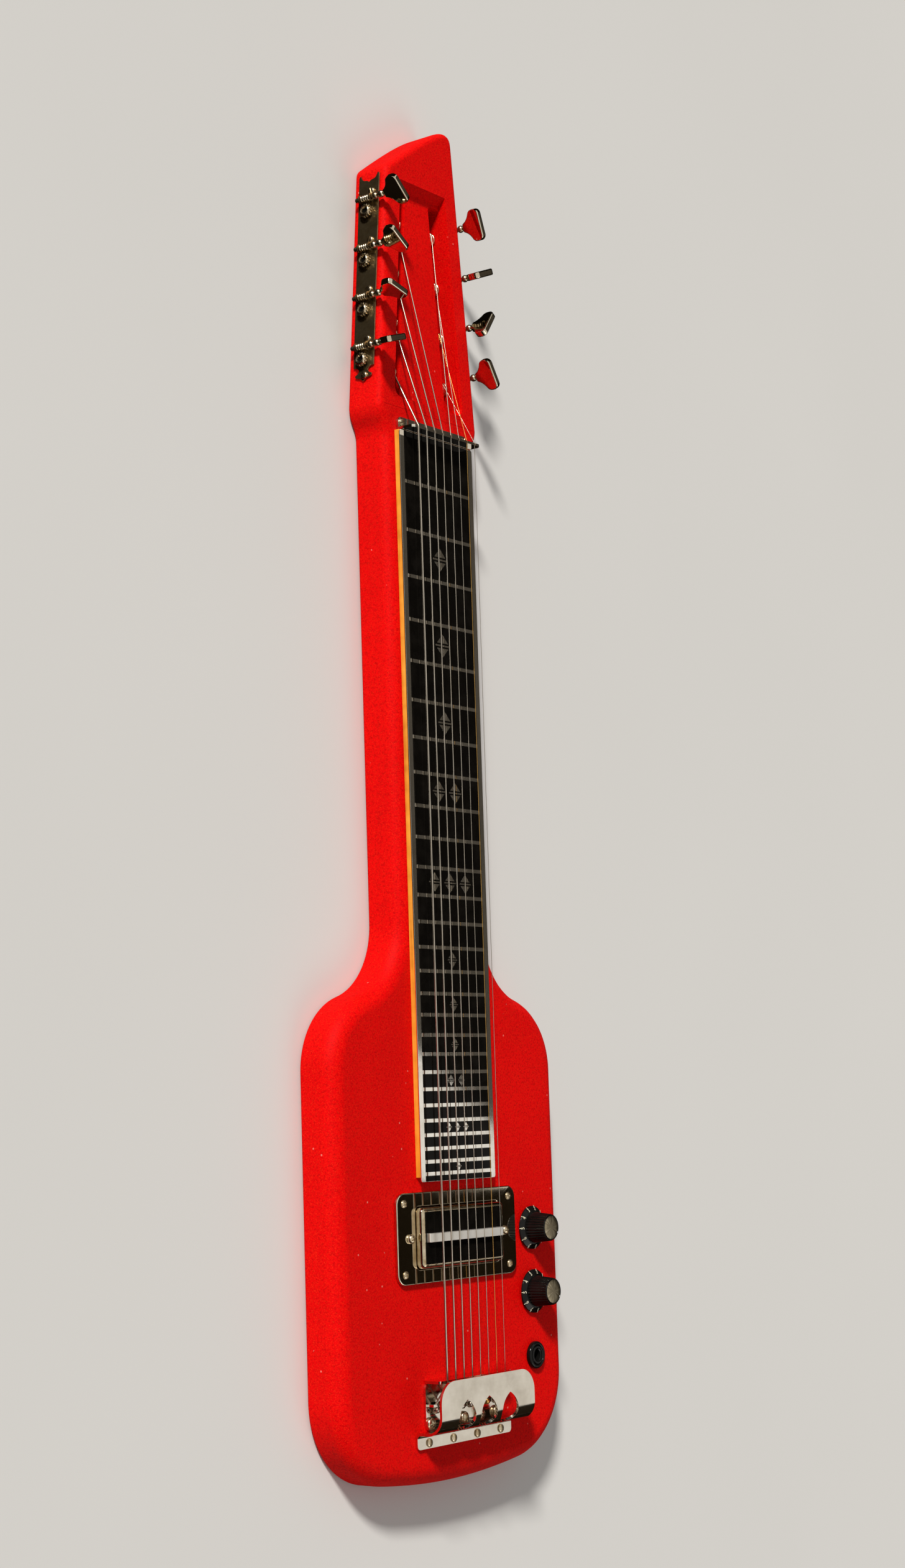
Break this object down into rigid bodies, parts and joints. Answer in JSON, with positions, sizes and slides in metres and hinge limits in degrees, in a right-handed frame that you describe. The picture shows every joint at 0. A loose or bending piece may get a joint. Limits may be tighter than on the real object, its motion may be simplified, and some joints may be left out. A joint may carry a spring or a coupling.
{
  "type": "lap steel guitar",
  "caption": "Solid-body lap steel guitar with a slotted head, geared tuners, long fingerboard, blade pickup, knobs, jack and a hand rest over the bridge.",
  "frame": {"origin": "middle of the bounding box on the flat back of the body", "axes": "+Z out of the face, +Y from the tail to the tip of the head, +X to the treble side"},
  "size_m": [0.2228, 0.8398, 0.0455],
  "materials": {
    "red_paint": "wood under red crinkle paint",
    "amber_wood": "clear gloss lacquer",
    "black_board": "mirror gloss",
    "chrome": "mirror",
    "nickel": "aged nickel",
    "steel": "bright",
    "gold_steel": "gold tint",
    "black_plastic": "gloss",
    "copper_wire": "varnished winding",
    "zinc": "matte plated"
  },
  "bodies": {
    "guitar": {"body": "red_paint", "control_cavity_cover": "black_plastic", "fingerboard_riser": "amber_wood", "fingerboard_plate": "black_board", "nut": "chrome", "nut_screw_bass": "nickel", "nut_screw_treble": "nickel", "pickup_ring": "chrome", "height_screw_bass": "nickel", "height_screw_treble": "nickel", "bridge_base": "chrome", "bridge_cover": "chrome", "jack_nut": "black_plastic", "jack_socket": "black_plastic", "tuner_plate_bass": "nickel", "tuner_plate_treble": "nickel", "string_1": "steel", "string_2": "steel", "string_3": "steel", "string_4": "steel", "string_5": "steel", "string_6": "steel", "string_7": "gold_steel", "string_8": "steel", "bridge_screw_1": "nickel", "bridge_screw_2": "nickel", "bridge_screw_3": "nickel", "bridge_screw_4": "nickel", "bridge_screw_5": "nickel", "flange_screw_1": "nickel", "flange_screw_2": "nickel", "flange_screw_3": "nickel", "flange_screw_4": "nickel", "potentiometer_1": "zinc", "control_shaft_1": "steel", "potentiometer_2": "zinc", "control_shaft_2": "steel"},
    "tuner_button_bass_1": {"tuner_button_bass_1": "nickel"},
    "tuner_post_bass_1": {"tuner_post_bass_1": "steel"},
    "tuner_button_bass_2": {"tuner_button_bass_2": "nickel"},
    "tuner_post_bass_2": {"tuner_post_bass_2": "steel"},
    "tuner_button_bass_3": {"tuner_button_bass_3": "nickel"},
    "tuner_post_bass_3": {"tuner_post_bass_3": "steel"},
    "tuner_button_bass_4": {"tuner_button_bass_4": "nickel"},
    "tuner_post_bass_4": {"tuner_post_bass_4": "steel"},
    "tuner_button_treble_1": {"tuner_button_treble_1": "nickel"},
    "tuner_post_treble_1": {"tuner_post_treble_1": "steel"},
    "tuner_button_treble_2": {"tuner_button_treble_2": "nickel"},
    "tuner_post_treble_2": {"tuner_post_treble_2": "steel"},
    "tuner_button_treble_3": {"tuner_button_treble_3": "nickel"},
    "tuner_post_treble_3": {"tuner_post_treble_3": "steel"},
    "tuner_button_treble_4": {"tuner_button_treble_4": "nickel"},
    "tuner_post_treble_4": {"tuner_post_treble_4": "steel"},
    "knob_1": {"knob_1": "black_plastic"},
    "knob_2": {"knob_2": "black_plastic"},
    "pickup": {"pickup_cover": "nickel", "pickup_blade": "steel", "pickup_coil": "copper_wire", "pickup_baseplate": "zinc"}
  },
  "joints": [
    {"name": "button_turn_bass_1", "type": "hinge", "parent": "guitar", "child": "tuner_button_bass_1", "pos_m": [-0.05095, 0.26375, 0.0127], "axis": [0, 0, 1], "continuous": true},
    {"name": "post_turn_bass_1", "type": "hinge", "parent": "guitar", "child": "tuner_post_bass_1", "pos_m": [-0.04768, 0.25543, 0.0127], "axis": [0.996, -0.0889, 0], "continuous": true},
    {"name": "button_turn_bass_2", "type": "hinge", "parent": "guitar", "child": "tuner_button_bass_2", "pos_m": [-0.04807, 0.29602, 0.0127], "axis": [0, 0, 1], "continuous": true},
    {"name": "post_turn_bass_2", "type": "hinge", "parent": "guitar", "child": "tuner_post_bass_2", "pos_m": [-0.0448, 0.2877, 0.0127], "axis": [0.996, -0.0889, 0], "continuous": true},
    {"name": "button_turn_bass_3", "type": "hinge", "parent": "guitar", "child": "tuner_button_bass_3", "pos_m": [-0.04519, 0.32829, 0.0127], "axis": [0, 0, 1], "continuous": true},
    {"name": "post_turn_bass_3", "type": "hinge", "parent": "guitar", "child": "tuner_post_bass_3", "pos_m": [-0.04192, 0.31997, 0.0127], "axis": [0.996, -0.0889, 0], "continuous": true},
    {"name": "button_turn_bass_4", "type": "hinge", "parent": "guitar", "child": "tuner_button_bass_4", "pos_m": [-0.04231, 0.36056, 0.0127], "axis": [0, 0, 1], "continuous": true},
    {"name": "post_turn_bass_4", "type": "hinge", "parent": "guitar", "child": "tuner_post_bass_4", "pos_m": [-0.03904, 0.35224, 0.0127], "axis": [0.996, -0.0889, 0], "continuous": true},
    {"name": "button_turn_treble_1", "type": "hinge", "parent": "guitar", "child": "tuner_button_treble_1", "pos_m": [0.05095, 0.26375, 0.0107], "axis": [0, 0, 1], "continuous": true},
    {"name": "post_turn_treble_1", "type": "hinge", "parent": "guitar", "child": "tuner_post_treble_1", "pos_m": [0.04768, 0.25543, 0.0107], "axis": [0.996, 0.0889, 0], "continuous": true},
    {"name": "button_turn_treble_2", "type": "hinge", "parent": "guitar", "child": "tuner_button_treble_2", "pos_m": [0.04807, 0.29602, 0.0107], "axis": [0, 0, 1], "continuous": true},
    {"name": "post_turn_treble_2", "type": "hinge", "parent": "guitar", "child": "tuner_post_treble_2", "pos_m": [0.0448, 0.2877, 0.0107], "axis": [0.996, 0.0889, 0], "continuous": true},
    {"name": "button_turn_treble_3", "type": "hinge", "parent": "guitar", "child": "tuner_button_treble_3", "pos_m": [0.04519, 0.32829, 0.0107], "axis": [0, 0, 1], "continuous": true},
    {"name": "post_turn_treble_3", "type": "hinge", "parent": "guitar", "child": "tuner_post_treble_3", "pos_m": [0.04192, 0.31997, 0.0107], "axis": [0.996, 0.0889, 0], "continuous": true},
    {"name": "button_turn_treble_4", "type": "hinge", "parent": "guitar", "child": "tuner_button_treble_4", "pos_m": [0.04231, 0.36056, 0.0107], "axis": [0, 0, 1], "continuous": true},
    {"name": "post_turn_treble_4", "type": "hinge", "parent": "guitar", "child": "tuner_post_treble_4", "pos_m": [0.03904, 0.35224, 0.0107], "axis": [0.996, 0.0889, 0], "continuous": true},
    {"name": "knob_turn_1", "type": "hinge", "parent": "guitar", "child": "knob_1", "pos_m": [0.0774, -0.27637, 0.0264], "axis": [0, 0, 1], "range_deg": [-150, 150]},
    {"name": "knob_turn_2", "type": "hinge", "parent": "guitar", "child": "knob_2", "pos_m": [0.0774, -0.31538, 0.0264], "axis": [0, 0, 1], "range_deg": [-150, 150]},
    {"name": "pickup_height", "type": "slide", "parent": "guitar", "child": "pickup", "axis": [0, 0, 1], "range_m": [-0.002, 0.0012]}
  ],
  "couplings": [
    {"joint": "post_turn_bass_1", "follows": "button_turn_bass_1", "ratio": -0.071429},
    {"joint": "post_turn_bass_2", "follows": "button_turn_bass_2", "ratio": -0.071429},
    {"joint": "post_turn_bass_3", "follows": "button_turn_bass_3", "ratio": -0.071429},
    {"joint": "post_turn_bass_4", "follows": "button_turn_bass_4", "ratio": -0.071429},
    {"joint": "post_turn_treble_1", "follows": "button_turn_treble_1", "ratio": -0.071429},
    {"joint": "post_turn_treble_2", "follows": "button_turn_treble_2", "ratio": -0.071429},
    {"joint": "post_turn_treble_3", "follows": "button_turn_treble_3", "ratio": -0.071429},
    {"joint": "post_turn_treble_4", "follows": "button_turn_treble_4", "ratio": -0.071429}
  ]
}
